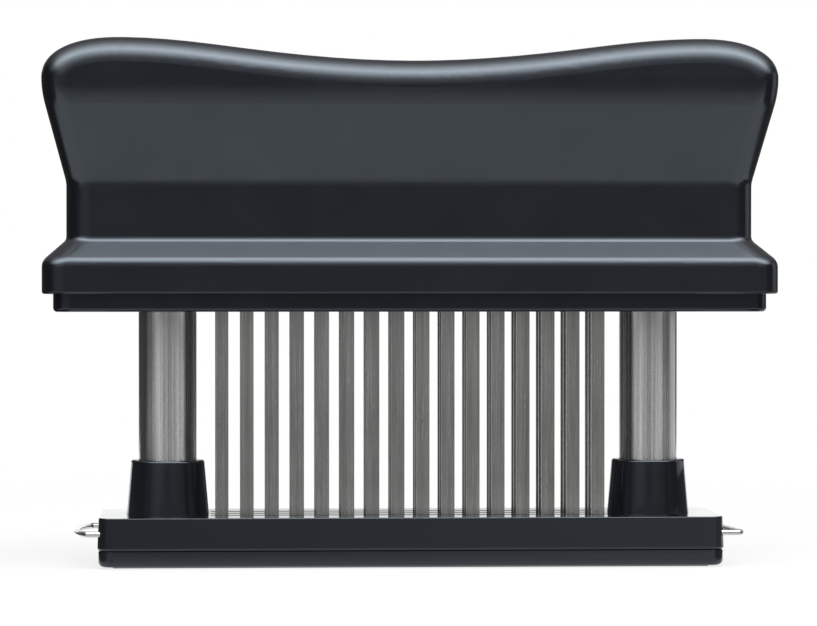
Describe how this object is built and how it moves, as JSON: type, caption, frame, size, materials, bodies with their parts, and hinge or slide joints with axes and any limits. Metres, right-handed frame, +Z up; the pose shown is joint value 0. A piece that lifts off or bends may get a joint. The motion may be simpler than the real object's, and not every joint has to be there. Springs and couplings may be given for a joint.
{
  "type": "meat tenderizer",
  "caption": "Hand-pressed blade tenderizer with a flared hollow handle sliding on sprung steel columns, rows of flat blades and a slotted guard foot.",
  "frame": {"origin": "middle of the underside of the foot, which is the middle of the bottom of the box", "axes": "+X along the handle to the right as seen from the front, +Y from the front to the rear, +Z up"},
  "size_m": [0.1508, 0.0338, 0.1081],
  "materials": {
    "black_plastic": "satin",
    "column_steel": "polished",
    "blade_steel": "brushed",
    "clip_wire": "bright",
    "spring_wire": "bright",
    "plug_steel": "turned",
    "screw_steel": "bright"
  },
  "bodies": {
    "base": {"base_frame": "black_plastic", "base_sole": "black_plastic", "left_column": "column_steel", "left_column_foot": "plug_steel", "left_column_head": "plug_steel", "left_column_screw": "screw_steel", "left_spring": "spring_wire", "right_column": "column_steel", "right_column_foot": "plug_steel", "right_column_head": "plug_steel", "right_column_screw": "screw_steel", "right_spring": "spring_wire"},
    "handle": {"handle_shell": "black_plastic", "blade_carrier": "black_plastic", "blade_clamp": "plug_steel", "clamp_screws": "screw_steel", "carrier_screws": "screw_steel", "front_blades": "blade_steel", "middle_blades": "blade_steel", "rear_blades": "blade_steel"},
    "left_clip": {"left_clip": "clip_wire"},
    "right_clip": {"right_clip": "clip_wire"}
  },
  "joints": [
    {"name": "handle_press", "type": "slide", "parent": "base", "child": "handle", "axis": [0, 0, -1], "range_m": [0, 0.03], "stiffness_N_per_m": 600, "springref_m": -0.02, "deforming": ["left_spring", "right_spring"]},
    {"name": "left_clip_pull", "type": "slide", "parent": "base", "child": "left_clip", "axis": [-1, 0, 0], "range_m": [0, 0.027]},
    {"name": "right_clip_pull", "type": "slide", "parent": "base", "child": "right_clip", "axis": [1, 0, 0], "range_m": [0, 0.027]}
  ]
}
